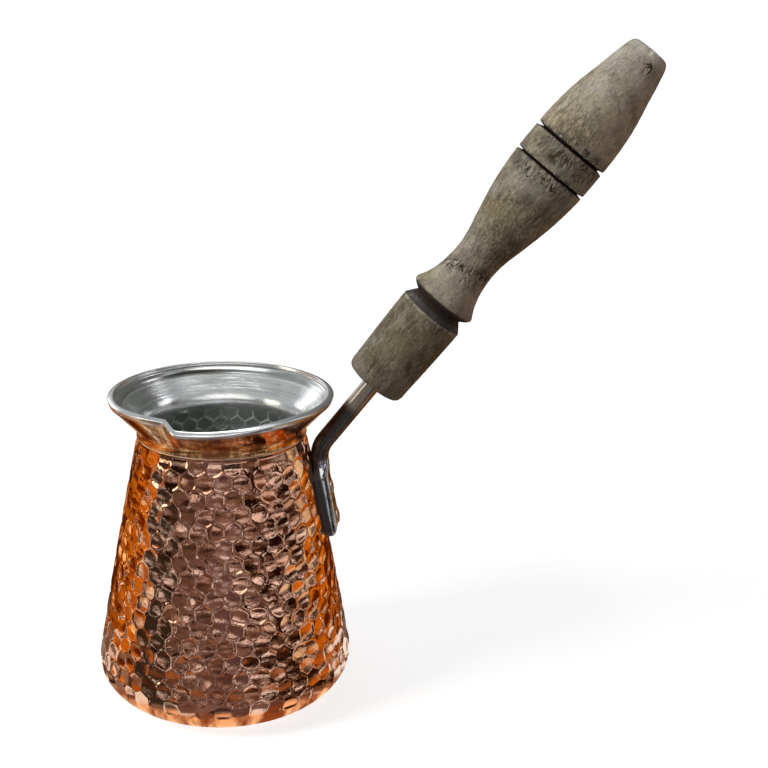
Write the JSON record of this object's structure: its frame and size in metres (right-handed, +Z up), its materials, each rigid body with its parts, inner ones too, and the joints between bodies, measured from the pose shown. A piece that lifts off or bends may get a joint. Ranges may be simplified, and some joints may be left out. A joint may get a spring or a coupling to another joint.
{
  "type": "copper coffee pot",
  "caption": "Tinned copper coffee pot with a flared rim, a pouring lip pressed in its side and a turned wooden grip on a riveted iron rod.",
  "frame": {"origin": "centre of the flat face the pot stands on", "axes": "+Z up along the pot's axis; +X towards the side the handle leaves, so that the handle lies in the XZ plane; the pouring lip is towards -Y"},
  "size_m": [0.1803, 0.0848, 0.2186],
  "materials": {
    "copper": "bright hammered copper",
    "tin": "wiped tin coat",
    "iron": "dark oxidised iron, glossy",
    "rivet_steel": "plain steel",
    "wood": "weathered greyish brown hardwood, unvarnished"
  },
  "bodies": {
    "root": {"pot_body": "copper", "tin_lining": "tin", "handle_rod": "iron", "rivet_upper": "rivet_steel", "rivet_lower": "rivet_steel", "wooden_handle": "wood", "end_washer": "rivet_steel"}
  },
  "joints": []
}
